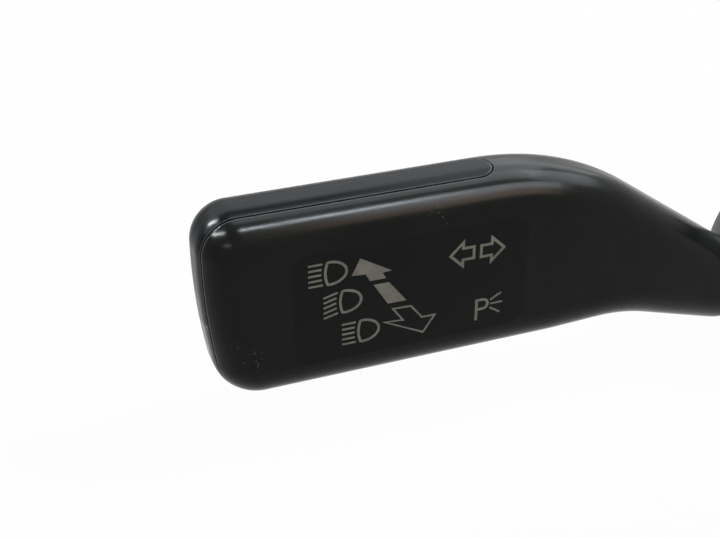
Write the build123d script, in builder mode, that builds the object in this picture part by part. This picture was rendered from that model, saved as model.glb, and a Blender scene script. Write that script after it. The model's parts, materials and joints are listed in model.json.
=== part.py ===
"""Combination stalk switch: a turn signal and headlamp beam lever on its plug-in switch module.

Millimetres. +X runs from the lever's tip towards the steering column, +Y away from the driver,
+Z up. Everything is drawn about the pivot centre, where the turn axis (along Y) crosses the beam
axis (along Z). The last lines move it so that the origin lies on the module's rear seat face.
"""

from build123d import *
import os
from math import cos, radians, sin

os.makedirs("parts", exist_ok=True)

# ---------------------------------------------------------------- driving dimensions
# the lever seen from the driver's seat
LEVER_REACH = 124.4  # pivot to tip
PADDLE_RISE = 16.5  # paddle's centre line above the pivot
PADDLE_DEPTH = 15.4
TIP_HEIGHT = 33.5
PADDLE_TAPER = 0.002  # each long side's slope towards the centre line
EDGE_ROUND = 6.4  # all long edges of the lever
TIP_CORNER_TOP = 6.5
TIP_CORNER_LOW = 7.9
TIP_SLANT_DEPTH = 2.5  # the lower corner stands back from the upper one
TIP_BULGE_DEPTH = 1.3

# how the paddle comes apart
PARTING_DEPTH = 3.9  # front face to the plane where the rear cover begins
SEAM = 0.3  # open line between two mouldings
PADDLE_WALL = 2.0
SHELL_RIM = 3.0  # side wall of the front shell at the parting plane
LIP_DEPTH = 1.5  # rear cover's tongue inside the front shell
LIP_WALL = 1.0
COVER_LENGTH = 45.0  # rear cover, tip to its inner end
CAP_LENGTH = 50.2  # blank cap, tip to its rounded end
CAP_WIDTH = 6.6
CAP_THICKNESS = 2.0
CAP_CORNER = 3.1
CAP_FOOT_DISTANCE = 2.5  # lower end of the cap below the paddle's centre line
CLIP_LENGTH = 4.5
CLIP_WIDTH = 5.0
CLIP_THICKNESS = 1.2
CLIP_BARB_DEPTH = 0.5
CLIP_START = 13.0  # tip to the first clip
CLIP_SPACING = 16.0
CLIP_COUNT = 2
RIB_THICKNESS = 1.2
RIB_HEIGHT = 2.0
RIB_COUNT = 3

# the cranked neck between the paddle and the housing
NECK_END = 14.0  # end face of the neck, before the pivot
NECK_TOP = 7.6
NECK_BOTTOM = 7.4  # below the pivot
NECK_DEPTH = 13.0
UPPER_CRANK_DISTANCE = 59.6  # where the paddle's upper side turns down, before the pivot
UPPER_CRANK_RADIUS = 50.0
LOWER_CRANK_DISTANCE = 47.9
LOWER_CRANK_RADIUS = 34.7
UPPER_KNEE_LENGTH = 8.9  # where the neck straightens again, before its end face
UPPER_KNEE_HEIGHT = 0.4
LOWER_KNEE_LENGTH = 11.7
LOWER_KNEE_HEIGHT = 0.1
KNEE_RADIUS = 12.0
FRONT_BEND_DISTANCE = 63.3  # where the front face turns in towards the neck, before the pivot
FRONT_BEND_RADIUS = 60.0

# what the neck carries
SHIELD_RADIUS = 21.5
SHIELD_WALL = 1.8
SHIELD_HEIGHT = 29.2
SHIELD_DEPTH = 20.0
SHIELD_CORNER = 5.0
ARM_WIDTH = 7.0
ARM_HEIGHT = 12.0
BARREL_DIAMETER = 8.0
TANG_WIDTH = 5.5
TANG_HEIGHT = 6.5
TANG_LENGTH = 17.0
TANG_SLOPE = 16.0  # degrees, the tang follows the cranked neck
FLANGE_WIDTH = 12.0
FLANGE_HEIGHT = 15.0
FLANGE_THICKNESS = 2.0
FLANGE_CORNER = 4.0
ARM_TAIL_DIAMETER = 5.0
ARM_TAIL_GAP = 1.8  # arm's tail to the crest of the beam cam
ARM_SCREW_DISTANCE = 11.0  # neck's end face to the screw
ARM_SCREW_DIAMETER = 2.5
ARM_SCREW_HEAD = 5.0
ARM_SCREW_HEAD_HEIGHT = 1.6
ARM_SCREW_SEAT = 3.6  # under the screw's head, behind the neck's middle

# the two hinges
TURN_ANGLE = 11.0  # degrees each way
BEAM_ANGLE = 7.0
TRUNNION_DIAMETER = 5.0
TRUNNION_LENGTH = 3.2
PIN_DIAMETER = 3.0
RUNNING_GAP = 0.05  # radial, in every bearing
FIT_GAP = 0.1  # between parts that are fixed together
SIDE_GAP = 0.2  # beside a part that swings

# carrier: a drum that turns in the housing, with a window for the arm and a tail for the detents
DRUM_RADIUS = 12.0
DRUM_FLAT_DISTANCE = 4.2  # flat towards the lever, before the pivot
DRUM_DEPTH = 16.0
WINDOW_DEPTH = 10.0
WINDOW_HEIGHT = 18.0
WINDOW_END = 5.0
TAIL_GAP = 3.0  # tail to the crest of the turn cam
TAIL_DEPTH = 11.4
TAIL_HEIGHT = 13.0
CAVITY_DEPTH = 9.4
CAVITY_HEIGHT = 8.4
PEG_DISTANCE = 18.0  # pivot to the peg that drives the turn slider
PEG_DIAMETER = 2.5

# detents
NOTCH_DEPTH = 0.5
NOTCH_GAP = 0.2  # notch's round beyond the nose's
NOSE_GAP = 0.1  # nose to cam crest
NOSE_TIP_RADIUS = 0.5  # flat at the end of each conical nose
BEAM_CAM_RADIUS = 18.6
BEAM_NOSE_RADIUS = 1.0
BEAM_PLUNGER_DIAMETER = 3.0
BEAM_PLUNGER_LENGTH = 7.5
BEAM_BORE_DEPTH = 9.5
TURN_CAM_RADIUS = 30.0
TURN_NOSE_RADIUS = 1.6
TURN_PLUNGER_DIAMETER = 4.0
TURN_PLUNGER_LENGTH = 7.5
TURN_BORE_DEPTH = 6.0
TURN_CUP_DEPTH = 5.0
CUP_WALL = 0.6
PLUNGER_STROKE = 0.6
SPRING_WIRE = 0.4
SPRING_COILS = 3
SPRING_SIDES = 12  # straight steps in each turn

# self-cancelling pawl
PAWL_WIDTH = 2.8
PAWL_HEIGHT = 5.0
PAWL_ROOT_GAP = 5.4  # drum to the pawl's inner end
PAWL_REACH = 6.0  # beyond the housing
PAWL_POINT = 3.0  # length of its pointed tip
PAWL_STROKE = 2.0
GUIDE_GAP = 2.6  # pawl's inner end to its guide
GUIDE_LENGTH = 6.0
GUIDE_WALL = 1.2
SPRING_PEG_DIAMETER = 1.2
SPRING_PEG_LENGTH = 2.4
PAWL_SPRING_DIAMETER = 2.4

# switch module housing
HOUSING_DEPTH = 25.0
HOUSING_HEIGHT = 42.0
HOUSING_START = -3.5
HOUSING_END = 44.0
HOUSING_WALL = 2.0
HOUSING_CORNER = 2.0
HOUSING_CHAMFER = 0.6
NOSE_START = -8.0
NOSE_WALL = 1.3
NOSE_DEPTH = 21.0
NOSE_HEIGHT = 28.0
NOSE_CORNER = 4.0
NOSE_WINDOW_DEPTH = 12.0
NOSE_WINDOW_HEIGHT = 19.0
BAY_START = 8.0  # thick bearing wall to the hollow bay behind it
DRUM_GAP = 0.4  # around the drum
SCREW_DIAMETER = 2.5
SCREW_HEAD = 5.0
SCREW_HEAD_HEIGHT = 1.8
SCREW_LENGTH = 12.0
RECESS_DEPTH = 0.9  # cross recess of every screw head
RECESS_WIDTH = 0.8
RECESS_SPAN = 0.65  # recess's span as a share of the head
BOSS_DIAMETER = 6.5
FRONT_SCREW_INSET = 5.9  # from the housing's outer faces
BACK_SCREW_INSET = 4.8
SIDE_SCREW_INSET = 4.4
RAIL_WIDTH = 2.5
RAIL_HEIGHT = 2.0
RAIL_START = 0.0
RAIL_LENGTH = 40.0
RAIL_INSET = 1.0  # rail back from the seat face
LATCH_START = 10.0
LATCH_LENGTH = 20.0
LATCH_WIDTH = 6.0
LATCH_THICKNESS = 1.4
LATCH_GAP = 1.2
LATCH_HOOK_HEIGHT = 1.4
LATCH_ROOT_LENGTH = 4.0

# electrical parts
BOARD_THICKNESS = 1.5
BOARD_SUPPORT = 0.7  # ribs under the board
BOARD_RIB_WIDTH = 1.2
BOARD_GAP = 1.0  # board to the housing's end wall
BOARD_HEIGHT = 26.0
PAD_THICKNESS = 0.1
PAD_SIZE = 2.0
PIN_COUNT = 8
PIN_PITCH = 2.54
PIN_SIZE = 0.64
PIN_GAP = 2.0  # turn cam to the pins
PIN_REACH = 7.5  # beyond the housing
HEADER_LENGTH = 9.0  # beyond the housing's end wall
HEADER_DEPTH = 5.0
HEADER_ROOM = 2.68  # header's height beyond its row of pins
HEADER_WALL = 1.1
HEADER_FLANGE = 0.9
SLIDER_LENGTH = 8.0
SLIDER_HEIGHT = 10.0
SLIDER_DEPTH = 1.9
WIPER_THICKNESS = 0.2
WIPER_WIDTH = 1.6
FRAME_BAR = 1.5
FRAME_END = 1.2
CAM_THICKNESS = 4.0
CAM_DEPTH = 7.0
CAM_HEIGHT = 20.0
CAM_PEG_DIAMETER = 3.0
CAM_PEG_SPACING = 14.0
CAM_PEG_GRIP = 1.0  # into the housing's rear wall
FINGER_DIAMETER = 2.0
FINGER_DISTANCE = 13.0
FINGER_LAP = 2.5  # finger beyond the lower edge of the leaf contacts
LEAF_THICKNESS = 0.3
LEAF_HEIGHT = 4.0
LEAF_CLEARANCE = 0.3
LEAF_DROP = 2.0  # leaf contacts below the housing's upper wall
LEAF_REACH = 4.0  # free ends beyond the finger
LEAF_TAIL = 1.6  # width of the strip that runs to the board
BLOCK_GAP = 6.5  # finger to the contact block
BLOCK_LENGTH = 6.0
BLOCK_WALL = 1.2

def both(half):
    """The two limits of something centred on the pivot."""
    return (-half, half)


# ---------------------------------------------------------------- places worked out from them
TIP_X = -LEVER_REACH
COVER_X = TIP_X + COVER_LENGTH
CAP_X = TIP_X + CAP_LENGTH
BACK_Y = NECK_DEPTH / 2  # the lever's back is one plane
FRONT_Y = BACK_Y - PADDLE_DEPTH
PARTING_Y = FRONT_Y + PARTING_DEPTH
COVER_RIM = SHELL_RIM + FIT_GAP + LIP_WALL
SEAT_Y = HOUSING_DEPTH / 2
INNER_Y = SEAT_Y - HOUSING_WALL
SPLIT_Y = -DRUM_DEPTH / 2 - SIDE_GAP  # joint between lid and base
BEARING_Y = DRUM_DEPTH / 2 + SIDE_GAP
INNER_Z = HOUSING_HEIGHT / 2 - HOUSING_WALL
END_X = HOUSING_END - HOUSING_WALL
BOARD_Y = INNER_Y - BOARD_SUPPORT - BOARD_THICKNESS  # board's front face
BOARD_START = DRUM_RADIUS + DRUM_GAP
BOARD_END = END_X - BOARD_GAP
TAIL_Y = TAIL_DEPTH / 2
TAIL_END = TURN_CAM_RADIUS - TAIL_GAP
ARM_TAIL_END = BEAM_CAM_RADIUS - ARM_TAIL_GAP
PAWL_START = DRUM_RADIUS + PAWL_ROOT_GAP
PAWL_TIP = HOUSING_END + PAWL_REACH
GUIDE_START = PAWL_START + GUIDE_GAP
PIN_START = TURN_CAM_RADIUS + CAM_THICKNESS + PIN_GAP
PIN_END = HOUSING_END + PIN_REACH
HEADER_HEIGHT = PIN_COUNT * PIN_PITCH + HEADER_ROOM
LEAF_TOP = INNER_Z - LEAF_DROP
LEAF_BOTTOM = LEAF_TOP - LEAF_HEIGHT
LEAF_START = FINGER_DISTANCE - LEAF_REACH
FINGER_TOP = LEAF_BOTTOM + FINGER_LAP
BLOCK_START = FINGER_DISTANCE + BLOCK_GAP
PEG_LENGTH = SLIDER_DEPTH
PAWL_BACK_Y = -TAIL_Y - FIT_GAP
PAWL_FRONT_Y = PAWL_BACK_Y - PAWL_WIDTH
PAWL_MIDDLE_Y = (PAWL_BACK_Y + PAWL_FRONT_Y) / 2
SCREW_XS = (HOUSING_START + FRONT_SCREW_INSET, HOUSING_END - BACK_SCREW_INSET)
SCREW_ZS = both(HOUSING_HEIGHT / 2 - SIDE_SCREW_INSET)
SCREW_PLACES = [(x, z) for x in SCREW_XS for z in SCREW_ZS]
CLEAR = 100.0  # longer than anything that it cuts
SEAT_SHIFT = Location((0, -SEAT_Y, 0))
ALONG = {"x": (0, 90, 0), "y": (-90, 0, 0), "z": (0, 0, 0)}


def slab(xs, ys, zs, mode=Mode.ADD):
    """A box between two limits on each axis, in the builder that is open."""
    with Locations(Location((sum(xs) / 2, sum(ys) / 2, sum(zs) / 2))):
        Box(abs(xs[1] - xs[0]), abs(ys[1] - ys[0]), abs(zs[1] - zs[0]), mode=mode)


def rod(axis, start, length, diameter, mode=Mode.ADD):
    """A round rod or hole from its start along +X, +Y or +Z, in the builder that is open."""
    with Locations(Location(start, ALONG[axis])):
        Cylinder(diameter / 2, length, align=(Align.CENTER, Align.CENTER, Align.MIN), mode=mode)


def recess(x, y, z, head):
    """A screw's cross recess, sunk in the face at y, in the builder that is open."""
    for length, width in ((RECESS_SPAN * head, RECESS_WIDTH), (RECESS_WIDTH, RECESS_SPAN * head)):
        with Locations(Location((x, y, z))):
            Box(length, 2 * RECESS_DEPTH, width, mode=Mode.SUBTRACT)


def coil(start_x, end_x, y, outer_diameter):
    """A coil spring of square wire along X between two faces, in the builder that is open."""
    height = end_x - start_x - SPRING_WIRE
    radius = (outer_diameter - SPRING_WIRE) / 2
    steps = SPRING_COILS * SPRING_SIDES
    points = []
    for step in range(steps + 1):
        angle = radians(360.0 * step / SPRING_SIDES)
        x = start_x + SPRING_WIRE / 2 + height * step / steps
        points.append((x, y + radius * cos(angle), radius * sin(angle)))
    with BuildLine(mode=Mode.PRIVATE) as path:
        Polyline(points)
    with BuildSketch(Plane(origin=path.line @ 0, x_dir=(1, 0, 0), z_dir=path.line % 0)) as wire:
        Rectangle(SPRING_WIRE, SPRING_WIRE)
    sweep(wire.sketch, path=path.line, transition=Transition.RIGHT)


# ---------------------------------------------------------------- outer form of the lever
def top_of_paddle(x):
    """Height of the paddle's upper side at x."""
    return PADDLE_RISE + TIP_HEIGHT / 2 - PADDLE_TAPER * (x - TIP_X)


def bottom_of_paddle(x):
    """Height of the paddle's lower side at x."""
    return 2 * PADDLE_RISE - top_of_paddle(x)


TIP_TOP = (TIP_X, top_of_paddle(TIP_X))
TIP_LOW = (TIP_X + TIP_SLANT_DEPTH, bottom_of_paddle(TIP_X + TIP_SLANT_DEPTH))
TIP_MIDDLE = (TIP_X + TIP_SLANT_DEPTH / 2 - TIP_BULGE_DEPTH, PADDLE_RISE)


def round_tip(outline):
    """Rounds the two corners at the paddle's tip, in the sketch that is open."""
    fillet(outline.vertices().sort_by(Axis.X)[:2].sort_by(Axis.Y)[0], TIP_CORNER_LOW)
    fillet(outline.vertices().sort_by(Axis.X)[0], TIP_CORNER_TOP)


def paddle_sketch(inset, right_x):
    """The paddle's outline in the XZ plane, made smaller by inset, as far as right_x."""
    with BuildSketch(Plane.XY) as outline:
        with BuildLine():
            ThreePointArc(TIP_TOP, TIP_MIDDLE, TIP_LOW)
            right_low = (right_x, bottom_of_paddle(right_x))
            right_top = (right_x, top_of_paddle(right_x))
            Polyline(TIP_LOW, right_low, right_top, TIP_TOP)
        make_face()
        round_tip(outline)
        if inset:
            offset(amount=-inset, kind=Kind.INTERSECTION)
    return outline.sketch


def paddle_prism(inset, right_x, ys, mode=Mode.ADD):
    """The paddle's outline, made smaller by inset, between two depths, in the open builder."""
    with BuildSketch(Plane.XZ.offset(-ys[1])) as outline:
        add(paddle_sketch(inset, right_x))
    extrude(outline.sketch, amount=ys[1] - ys[0], mode=mode)


with BuildPart() as lever_form:
    # seen from the driver's seat: the paddle, and the neck that cranks down to the pivot
    with BuildSketch(Plane.XZ.offset(-BACK_Y)) as front_view:
        with BuildLine():
            neck_x = -NECK_END
            crank = (-UPPER_CRANK_DISTANCE, top_of_paddle(-UPPER_CRANK_DISTANCE))
            knee = (neck_x - UPPER_KNEE_LENGTH, NECK_TOP + UPPER_KNEE_HEIGHT)
            bends = [UPPER_CRANK_RADIUS, KNEE_RADIUS]
            FilletPolyline(TIP_TOP, crank, knee, (neck_x, NECK_TOP), radius=bends)
            Line((neck_x, NECK_TOP), (neck_x, -NECK_BOTTOM))
            crank = (-LOWER_CRANK_DISTANCE, bottom_of_paddle(-LOWER_CRANK_DISTANCE))
            knee = (neck_x - LOWER_KNEE_LENGTH, LOWER_KNEE_HEIGHT - NECK_BOTTOM)
            bends = [LOWER_CRANK_RADIUS, KNEE_RADIUS]
            FilletPolyline(TIP_LOW, crank, knee, (neck_x, -NECK_BOTTOM), radius=bends)
            ThreePointArc(TIP_TOP, TIP_MIDDLE, TIP_LOW)
        make_face()
        round_tip(front_view)
    extrude(amount=PADDLE_DEPTH)
    # seen from above: the front face turns in towards the neck
    with BuildSketch(Plane.XY.offset(-CLEAR)):
        with BuildLine():
            neck_front = (neck_x, BACK_Y - NECK_DEPTH)
            FilletPolyline((TIP_X, FRONT_Y), (-FRONT_BEND_DISTANCE, FRONT_Y), neck_front, radius=FRONT_BEND_RADIUS)
            Polyline(neck_front, (neck_x, FRONT_Y - PADDLE_DEPTH), (TIP_X, FRONT_Y - PADDLE_DEPTH), (TIP_X, FRONT_Y))
        make_face()
    extrude(amount=2 * CLEAR, mode=Mode.SUBTRACT)
    # the edges along the lever stay on one side of it, unlike those across its depth
    one_sided = [e for e in lever_form.edges() if e.bounding_box().size.Y < PADDLE_DEPTH / 2]
    edge_round = min(EDGE_ROUND, NECK_DEPTH / 2 - FIT_GAP, TIP_CORNER_TOP - FIT_GAP)
    fillet([e for e in one_sided if e.center().X < neck_x - FIT_GAP], edge_round)


# ---------------------------------------------------------------- blank cap in the paddle's edge
def cap_zone(grow, thickness):
    """The cap's space: a strip of the paddle's skin over the top and down the end."""
    ys = (PARTING_Y + SEAM - grow, PARTING_Y + CAP_WIDTH + grow)
    foot_z = PADDLE_RISE - CAP_FOOT_DISTANCE - grow
    end_x = CAP_X + grow
    with BuildPart() as zone:
        with BuildSketch(Plane.XY.offset(foot_z)) as plan:
            with Locations((end_x - CLEAR / 2, (ys[0] + ys[1]) / 2)):
                Rectangle(CLEAR, ys[1] - ys[0])
            fillet(plan.vertices().group_by(Axis.X)[-1], CAP_CORNER + grow)
        extrude(amount=CLEAR)
        paddle_prism(thickness, end_x + CLEAR / 2, (ys[0] - SEAM, ys[1] + SEAM), Mode.SUBTRACT)
    return zone.part


def clip_zone(index, grow, mode=Mode.ADD):
    """One of the cap's snap legs, or the slot that it goes through."""
    x = TIP_X + CLIP_START + index * CLIP_SPACING
    y = PARTING_Y + CAP_WIDTH / 2
    top_z = top_of_paddle(x) - CAP_THICKNESS
    xs = (x - CLIP_WIDTH / 2 - grow, x + CLIP_WIDTH / 2 + grow)
    ys = (y - CLIP_THICKNESS / 2 - grow, y + CLIP_THICKNESS / 2 + grow)
    slab(xs, ys, (top_z - CLIP_LENGTH - grow, top_z + FIT_GAP), mode)
    return xs, ys, top_z


cap_space = cap_zone(0.0, CAP_THICKNESS)
cap_seat = cap_zone(SEAM, CAP_THICKNESS + FIT_GAP)

with BuildPart() as blank_cap:
    add(lever_form.part)
    add(cap_space, mode=Mode.INTERSECT)
    for index in range(CLIP_COUNT):
        xs, ys, top_z = clip_zone(index, 0.0)
        rim_z = top_z + CAP_THICKNESS - COVER_RIM - FIT_GAP
        slab(xs, (ys[1], ys[1] + CLIP_BARB_DEPTH), (top_z - CLIP_LENGTH, rim_z))

# ---------------------------------------------------------------- rear cover of the paddle
with BuildPart() as rear_cover:
    add(lever_form.part)
    cover_x = COVER_X - SEAM
    front_y = PARTING_Y + SEAM
    slab((TIP_X - CLEAR, cover_x), (front_y, CLEAR), both(CLEAR), Mode.INTERSECT)
    paddle_prism(COVER_RIM, cover_x, (front_y, BACK_Y - PADDLE_WALL), Mode.SUBTRACT)
    with BuildSketch(Plane.XZ.offset(-front_y)):
        add(paddle_sketch(SHELL_RIM + FIT_GAP, cover_x))
        add(paddle_sketch(COVER_RIM, cover_x), mode=Mode.SUBTRACT)
    extrude(amount=LIP_DEPTH)
    add(cap_seat, mode=Mode.SUBTRACT)
    for index in range(CLIP_COUNT):
        clip_zone(index, FIT_GAP, Mode.SUBTRACT)

# ---------------------------------------------------------------- front shell with the neck
NECK_SCREW_X = -NECK_END - ARM_SCREW_DISTANCE * cos(radians(TANG_SLOPE))
NECK_SCREW_Z = ARM_SCREW_DISTANCE * sin(radians(TANG_SLOPE))


def tang(grow, mode=Mode.ADD):
    """The arm's sloping tang, or its pocket in the neck."""
    length = TANG_LENGTH + grow
    with Locations(Location((-NECK_END, 0, 0), (0, TANG_SLOPE, 0))):
        with Locations((-length / 2 + FLANGE_THICKNESS / 4, 0, 0)):
            Box(length + FLANGE_THICKNESS / 2, TANG_WIDTH + 2 * grow, TANG_HEIGHT + 2 * grow, mode=mode)


with BuildPart() as lever_body:
    add(lever_form.part)
    slab((TIP_X - CLEAR, COVER_X), (PARTING_Y, CLEAR), both(CLEAR), Mode.SUBTRACT)
    paddle_prism(SHELL_RIM, COVER_X, (FRONT_Y + PADDLE_WALL, PARTING_Y), Mode.SUBTRACT)
    rib_room = COVER_LENGTH - 2 * COVER_RIM
    rib_ys = (FRONT_Y + PADDLE_WALL, FRONT_Y + PADDLE_WALL + RIB_HEIGHT)
    for index in range(RIB_COUNT):
        rib_x = TIP_X + COVER_RIM + rib_room * (index + 1) / (RIB_COUNT + 1)
        rib_half = top_of_paddle(rib_x) - PADDLE_RISE - COVER_RIM - FIT_GAP
        rib_zs = (PADDLE_RISE - rib_half, PADDLE_RISE + rib_half)
        slab((rib_x - RIB_THICKNESS / 2, rib_x + RIB_THICKNESS / 2), rib_ys, rib_zs)
    add(cap_seat, mode=Mode.SUBTRACT)
    tang(FIT_GAP, Mode.SUBTRACT)
    rod("y", (NECK_SCREW_X, 0, NECK_SCREW_Z), CLEAR, ARM_SCREW_DIAMETER + 2 * FIT_GAP, Mode.SUBTRACT)
    seat = (NECK_SCREW_X, ARM_SCREW_SEAT, NECK_SCREW_Z)
    rod("y", seat, CLEAR, ARM_SCREW_HEAD + 2 * FIT_GAP, Mode.SUBTRACT)

with BuildPart() as dust_shield:
    Sphere(SHIELD_RADIUS)
    Sphere(SHIELD_RADIUS - SHIELD_WALL, mode=Mode.SUBTRACT)
    with BuildSketch(Plane.YZ):
        RectangleRounded(SHIELD_DEPTH, SHIELD_HEIGHT, SHIELD_CORNER)
    extrude(amount=-CLEAR, mode=Mode.INTERSECT)
    add(lever_form.part, mode=Mode.SUBTRACT)

# ---------------------------------------------------------------- steel arm through the pivot
with BuildPart() as lever_arm:
    with BuildSketch(Plane.YZ.offset(-NECK_END)):
        RectangleRounded(FLANGE_WIDTH, FLANGE_HEIGHT, FLANGE_CORNER)
    extrude(amount=FLANGE_THICKNESS)
    tang(0.0)
    slab((-NECK_END + FLANGE_THICKNESS / 2, 0), both(ARM_WIDTH / 2), both(ARM_HEIGHT / 2))
    barrel_height = WINDOW_HEIGHT - 2 * SIDE_GAP
    rod("z", (0, 0, -barrel_height / 2), barrel_height, BARREL_DIAMETER)
    rod("x", (0, 0, 0), ARM_TAIL_END, ARM_TAIL_DIAMETER)
    rod("z", (0, 0, -CLEAR), 2 * CLEAR, PIN_DIAMETER + 2 * RUNNING_GAP, Mode.SUBTRACT)
    bore_start = (ARM_TAIL_END - BEAM_BORE_DEPTH, 0, 0)
    bore = BEAM_PLUNGER_DIAMETER + 2 * RUNNING_GAP
    rod("x", bore_start, BEAM_BORE_DEPTH, bore, Mode.SUBTRACT)
    hole = ARM_SCREW_DIAMETER + 2 * RUNNING_GAP
    rod("y", (NECK_SCREW_X, -CLEAR, NECK_SCREW_Z), 2 * CLEAR, hole, Mode.SUBTRACT)
    hole = FINGER_DIAMETER + 2 * RUNNING_GAP
    rod("z", (FINGER_DISTANCE, 0, 0), CLEAR, hole, Mode.SUBTRACT)

with BuildPart() as arm_screw:
    tip_y = -TANG_WIDTH / 2
    rod("y", (NECK_SCREW_X, tip_y, NECK_SCREW_Z), ARM_SCREW_SEAT - tip_y, ARM_SCREW_DIAMETER)
    rod("y", (NECK_SCREW_X, ARM_SCREW_SEAT, NECK_SCREW_Z), ARM_SCREW_HEAD_HEIGHT, ARM_SCREW_HEAD)
    recess(NECK_SCREW_X, ARM_SCREW_SEAT + ARM_SCREW_HEAD_HEIGHT, NECK_SCREW_Z, ARM_SCREW_HEAD)

# a post on the arm's tail that works the beam contacts, pressed in from above
with BuildPart() as contact_finger:
    bore_top = BEAM_PLUNGER_DIAMETER / 2 + RUNNING_GAP
    rod("z", (FINGER_DISTANCE, 0, bore_top + FIT_GAP), FINGER_TOP - bore_top - FIT_GAP, FINGER_DIAMETER)
    chamfer(contact_finger.edges().group_by(Axis.Z)[-1], FINGER_DIAMETER / 6)

# ---------------------------------------------------------------- carrier on the turn axis
with BuildPart() as carrier:
    rod("y", (0, -DRUM_DEPTH / 2, 0), DRUM_DEPTH, 2 * DRUM_RADIUS)
    slab((-CLEAR, -DRUM_FLAT_DISTANCE), both(CLEAR), both(CLEAR), Mode.SUBTRACT)
    slab((WINDOW_END, TAIL_END), both(TAIL_Y), both(TAIL_HEIGHT / 2))
    slab((-CLEAR, WINDOW_END), both(WINDOW_DEPTH / 2), both(WINDOW_HEIGHT / 2), Mode.SUBTRACT)
    for start_y in (DRUM_DEPTH / 2, -DRUM_DEPTH / 2 - TRUNNION_LENGTH):
        rod("y", (0, start_y, 0), TRUNNION_LENGTH, TRUNNION_DIAMETER)
    rod("z", (0, 0, -CLEAR), 2 * CLEAR, PIN_DIAMETER + 2 * RUNNING_GAP, Mode.SUBTRACT)
    # cavity with the beam cam at its far end
    with BuildSketch(Plane.XY.offset(-CAVITY_HEIGHT / 2)) as cavity:
        Circle(BEAM_CAM_RADIUS)
        notch_radius = BEAM_NOSE_RADIUS + NOTCH_GAP
        pitch_radius = BEAM_CAM_RADIUS + NOTCH_DEPTH - notch_radius
        with PolarLocations(pitch_radius, 2, 0, BEAM_ANGLE, endpoint=True):
            Circle(notch_radius)
        with Locations((CLEAR / 2, 0)):
            Rectangle(CLEAR, CAVITY_DEPTH, mode=Mode.INTERSECT)
    extrude(amount=CAVITY_HEIGHT, mode=Mode.SUBTRACT)
    # slot for the contact finger
    swing = FINGER_DISTANCE * sin(radians(BEAM_ANGLE)) + FINGER_DIAMETER / 2 + SIDE_GAP
    near = FINGER_DISTANCE * cos(radians(BEAM_ANGLE)) - FINGER_DIAMETER / 2 - SIDE_GAP
    far = FINGER_DISTANCE + FINGER_DIAMETER / 2 + SIDE_GAP
    slab((near, far), both(swing), (0, CLEAR), Mode.SUBTRACT)
    # bore for the turn plunger
    bore_start = (TAIL_END - TURN_BORE_DEPTH, 0, 0)
    bore = TURN_PLUNGER_DIAMETER + 2 * RUNNING_GAP
    rod("x", bore_start, TURN_BORE_DEPTH, bore, Mode.SUBTRACT)
    # peg for the turn slider
    rod("y", (PEG_DISTANCE, TAIL_Y - FIT_GAP, 0), PEG_LENGTH + FIT_GAP, PEG_DIAMETER)
    # guide loop and spring peg for the cancelling pawl
    loop_half = PAWL_HEIGHT / 2 + FIT_GAP
    loop_front = PAWL_FRONT_Y - FIT_GAP
    guide = (GUIDE_START, GUIDE_START + GUIDE_LENGTH)
    slab(guide, (loop_front - GUIDE_WALL, -TAIL_Y), both(loop_half + GUIDE_WALL))
    slab(guide, (loop_front, -TAIL_Y), both(loop_half), Mode.SUBTRACT)
    rod("x", (DRUM_RADIUS - PEG_DIAMETER, PAWL_MIDDLE_Y, 0), PEG_DIAMETER + SPRING_PEG_LENGTH, SPRING_PEG_DIAMETER)

with BuildPart() as beam_pin:
    pin_half = DRUM_RADIUS - SIDE_GAP
    rod("z", (0, 0, -pin_half), 2 * pin_half, PIN_DIAMETER)
    chamfer(beam_pin.edges(), RUNNING_GAP * 4)

# ---------------------------------------------------------------- sprung plungers and their springs
TURN_NOSE_X = TURN_CAM_RADIUS - NOSE_GAP
BEAM_NOSE_X = BEAM_CAM_RADIUS - NOSE_GAP
TURN_PLUNGER_X = TURN_NOSE_X - TURN_PLUNGER_LENGTH
BEAM_PLUNGER_X = BEAM_NOSE_X - BEAM_PLUNGER_LENGTH


def plunger(start_x, nose_x, diameter, nose_radius):
    """A round plunger along X with a conical nose, in the builder that is open."""
    shoulder_x = nose_x - nose_radius
    with BuildSketch(Plane.XY) as profile:
        with BuildLine():
            side = [(start_x, 0), (start_x, diameter / 2), (shoulder_x, diameter / 2)]
            nose = [(shoulder_x, nose_radius), (nose_x, NOSE_TIP_RADIUS), (nose_x, 0)]
            Polyline(*side, *nose, close=True)
        make_face()
    revolve(profile.sketch, axis=Axis.X)


with BuildPart() as turn_plunger:
    plunger(TURN_PLUNGER_X, TURN_NOSE_X, TURN_PLUNGER_DIAMETER, TURN_NOSE_RADIUS)
    cup = TURN_PLUNGER_DIAMETER - 2 * CUP_WALL
    rod("x", (TURN_PLUNGER_X, 0, 0), TURN_CUP_DEPTH, cup, Mode.SUBTRACT)

with BuildPart() as beam_plunger:
    plunger(BEAM_PLUNGER_X, BEAM_NOSE_X, BEAM_PLUNGER_DIAMETER, BEAM_NOSE_RADIUS)

# each spring is drawn at its shortest, so it stays clear of what it pushes over the whole stroke
with BuildPart() as turn_spring:
    cup = TURN_PLUNGER_DIAMETER - 2 * CUP_WALL
    end_x = TURN_PLUNGER_X + TURN_CUP_DEPTH - PLUNGER_STROKE - FIT_GAP
    coil(TAIL_END - TURN_BORE_DEPTH, end_x, 0, cup - 2 * FIT_GAP)

with BuildPart() as beam_spring:
    end_x = BEAM_PLUNGER_X - PLUNGER_STROKE - FIT_GAP
    coil(ARM_TAIL_END - BEAM_BORE_DEPTH, end_x, 0, BEAM_PLUNGER_DIAMETER - 2 * FIT_GAP)

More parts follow.
